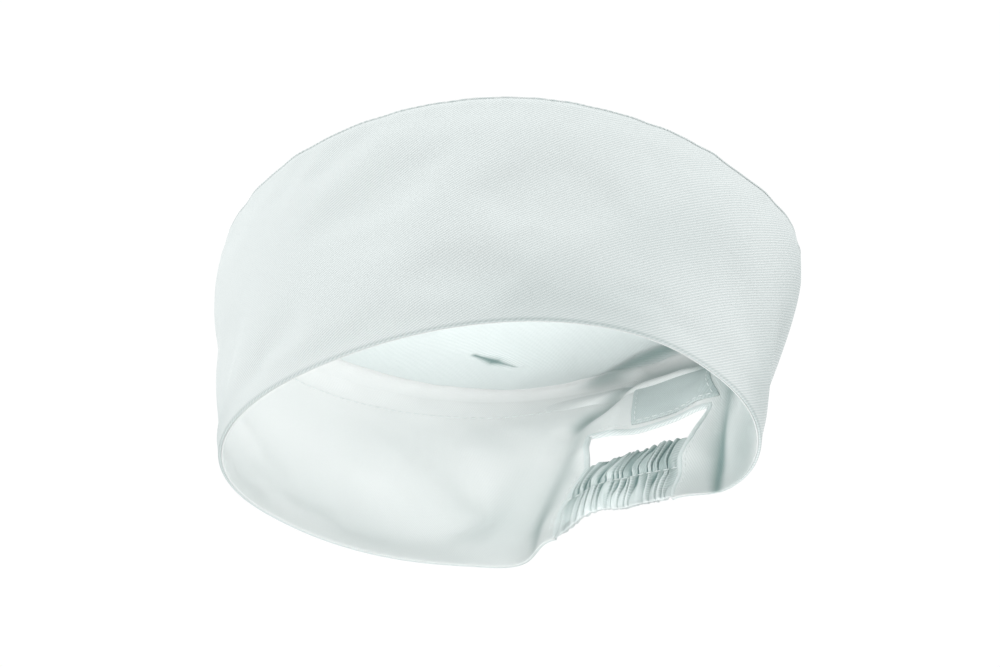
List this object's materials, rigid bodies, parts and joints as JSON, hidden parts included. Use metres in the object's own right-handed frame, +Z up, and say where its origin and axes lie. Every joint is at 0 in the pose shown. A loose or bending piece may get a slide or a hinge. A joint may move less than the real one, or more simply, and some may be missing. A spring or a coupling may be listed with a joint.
{
  "type": "chef cap",
  "caption": "Low flat-topped chef's cap with a stiffened twill band, a back window and a ruched elastic strap.",
  "frame": {"origin": "Under the middle of the cap, on the plane of the hem.", "axes": "+Z up through the crown, the front of the cap faces -Y, and the wearer's left is +X."},
  "size_m": [0.185, 0.1906, 0.0858],
  "materials": {
    "twill": "white poly-cotton twill, matt",
    "lining": "white plain cotton, matt",
    "interlining": "non-woven stiffener, matt",
    "elastic": "white woven elastic, matt",
    "thread": "white polyester sewing thread"
  },
  "bodies": {
    "root": {"crown_panel": "twill", "band_outer": "twill", "band_lining": "lining", "band_interlining": "interlining", "crown_seam_tape": "lining", "window_facing": "lining", "crown_seam_thread": "thread", "window_edge_thread": "thread", "facing_edge_thread": "thread", "strap_end_thread_left": "thread", "strap_end_thread_right": "thread"},
    "strap": {"strap_casing": "twill", "elastic_upper": "elastic", "elastic_lower": "elastic", "strap_centre_thread_inner": "thread", "strap_centre_thread_outer": "thread"}
  },
  "joints": [
    {"name": "strap_stretch", "type": "slide", "parent": "root", "child": "strap", "axis": [0, 1, 0], "range_m": [0, 0.018], "stiffness_N_per_m": 150}
  ]
}
